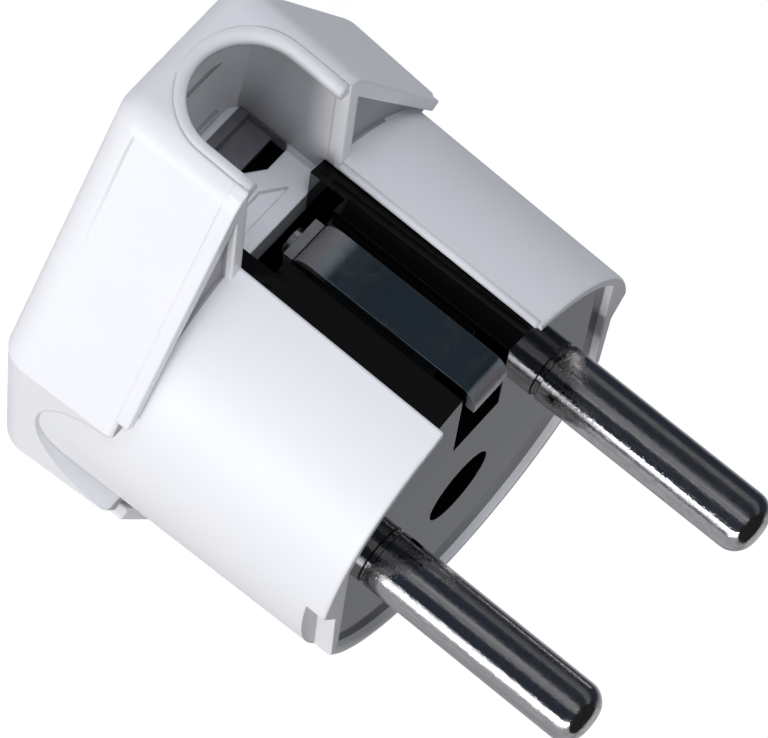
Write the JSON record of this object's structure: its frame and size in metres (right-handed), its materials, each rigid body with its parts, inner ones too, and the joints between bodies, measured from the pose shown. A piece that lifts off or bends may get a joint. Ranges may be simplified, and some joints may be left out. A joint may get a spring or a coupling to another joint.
{
  "type": "plug adapter",
  "caption": "Earthed plug adapter with round pins, side earth strips, a slotted round body and a pointed grip head.",
  "frame": {"origin": "middle of the flat rear face, on which the adapter stands with its pins up", "axes": "+Z along the pins, from the rear face to the pin tips; +X from the line pin to the neutral pin; +Y towards the upper earth strip and the upper wing of the head"},
  "size_m": [0.0362, 0.0594, 0.048],
  "materials": {
    "shell_white": "smooth moulded white, satin gloss",
    "cover_white": "smooth moulded white, satin gloss",
    "carrier_black": "polished black moulding",
    "holder_black": "polished black moulding",
    "pin_nickel": "bright nickel plate, lightly scratched",
    "earth_metal": "nickel-plated strip, dull with bright cut edges",
    "rivet_steel": "plain steel",
    "contact_brass": "rolled brass",
    "screw_steel": "zinc-plated steel"
  },
  "bodies": {
    "root": {"housing": "shell_white", "rear_cover": "cover_white", "pin_carrier": "carrier_black", "contact_holder": "holder_black", "pin_line": "pin_nickel", "pin_neutral": "pin_nickel", "earth_strip_top": "earth_metal", "earth_strip_bottom": "earth_metal", "earth_bridge": "earth_metal", "earth_rivet_top": "rivet_steel", "earth_rivet_bottom": "rivet_steel", "earth_sleeve": "contact_brass", "contact_line": "contact_brass", "contact_neutral": "contact_brass", "fixing_screw": "screw_steel", "fixing_nut": "screw_steel", "cover_screw_line": "screw_steel", "cover_screw_neutral": "screw_steel"}
  },
  "joints": []
}
